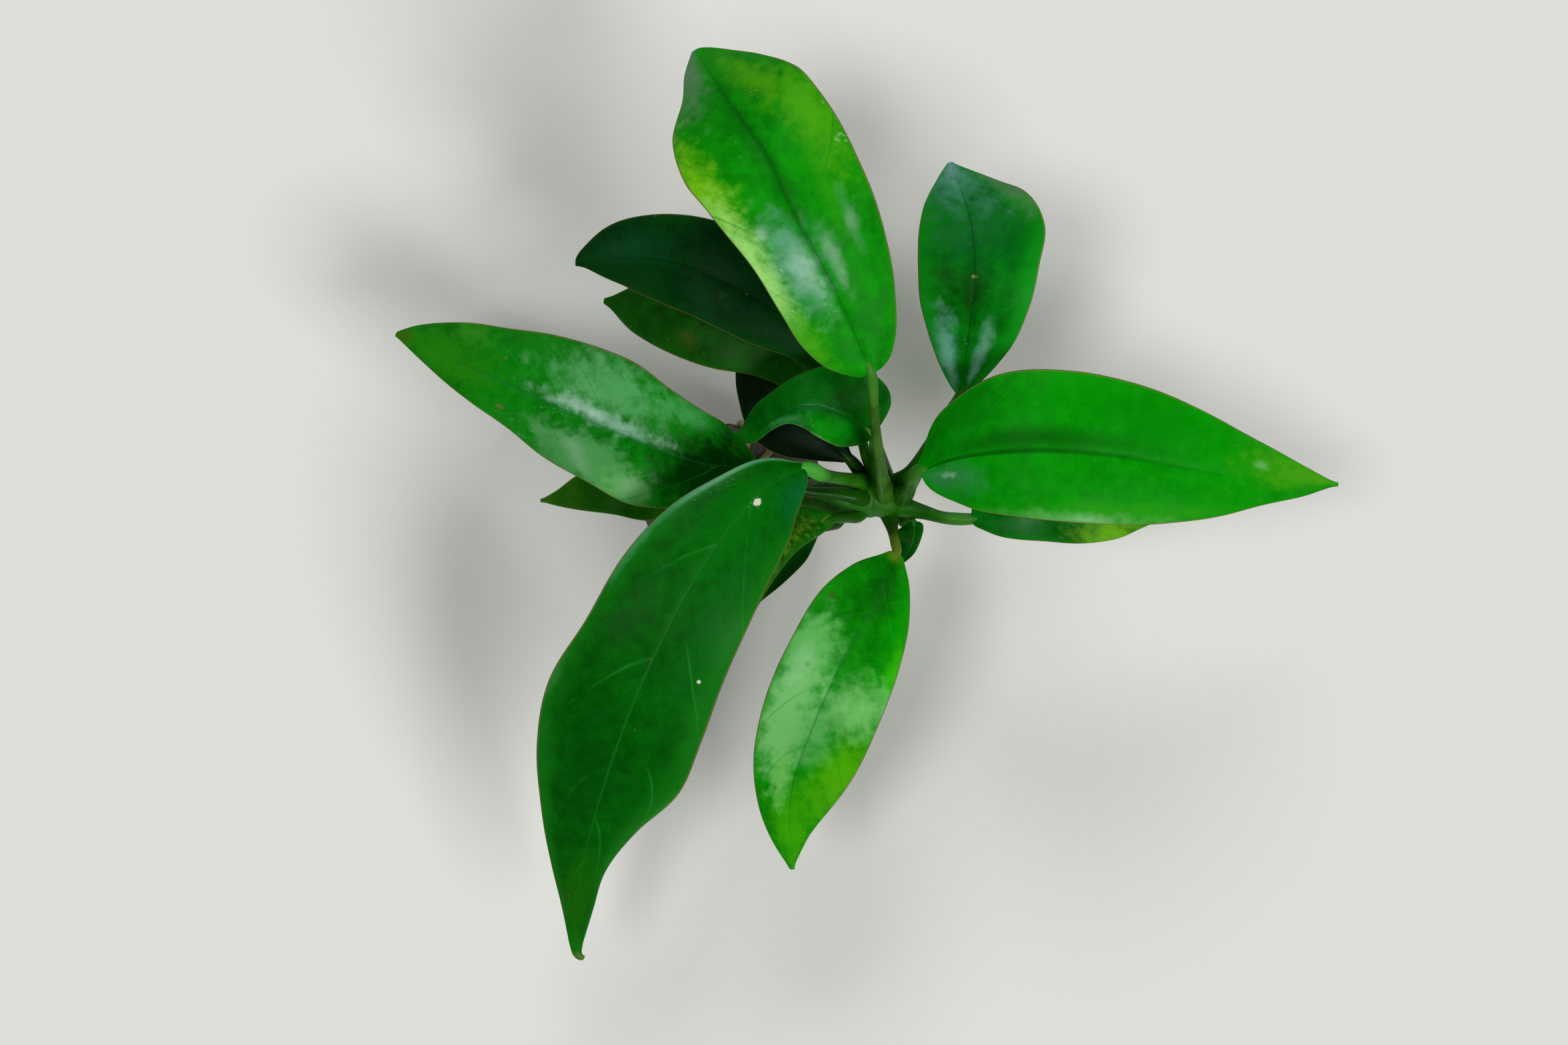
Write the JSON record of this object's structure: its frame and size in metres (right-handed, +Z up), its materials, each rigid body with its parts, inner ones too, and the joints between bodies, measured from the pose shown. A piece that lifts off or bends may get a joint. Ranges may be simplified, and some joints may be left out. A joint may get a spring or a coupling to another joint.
{
  "type": "anubias on stone",
  "caption": "Anubias plant with glossy pointed leaves on short stalks, its creeping rhizome rooted onto a small stone that it stands on.",
  "frame": {"origin": "middle of the stone's flat underside, on the surface it stands on", "axes": "+Z up, +X towards the growing end of the rhizome, +Y towards the side of the highest leaf"},
  "size_m": [0.179, 0.1714, 0.0866],
  "materials": {
    "leaf_bright": "gloss",
    "leaf_deep": "gloss",
    "leaf_shade": "satin",
    "leaf_spotted": "satin",
    "stalk": "satin",
    "rhizome": "satin",
    "root": "matte",
    "stone": "matte"
  },
  "bodies": {
    "root": {"stone": "stone", "rhizome": "rhizome", "root_1": "root", "root_2": "root", "root_3": "root", "root_4": "root", "root_5": "root", "root_6": "root", "root_7": "root", "root_8": "root", "root_9": "root", "stalk_top": "stalk", "stalk_upper_right": "stalk", "stalk_right": "stalk", "stalk_right_lower": "stalk", "stalk_bottom": "stalk", "stalk_young": "stalk", "stalk_lower_left": "stalk", "stalk_left": "stalk", "stalk_left_lower": "stalk", "stalk_upper_left": "stalk", "stalk_upper_left_lower": "stalk", "stalk_centre": "stalk", "stalk_centre_under": "stalk", "stalk_spotted": "stalk", "stalk_under_spotted": "stalk", "leaf_top": "leaf_bright", "leaf_upper_right": "leaf_deep", "leaf_right": "leaf_bright", "leaf_right_lower": "leaf_bright", "leaf_bottom": "leaf_bright", "leaf_young": "leaf_bright", "leaf_lower_left": "leaf_deep", "leaf_left": "leaf_deep", "leaf_left_lower": "leaf_shade", "leaf_upper_left": "leaf_shade", "leaf_upper_left_lower": "leaf_shade", "leaf_centre": "leaf_deep", "leaf_centre_under": "leaf_shade", "leaf_spotted": "leaf_spotted", "leaf_under_spotted": "leaf_shade"}
  },
  "joints": []
}
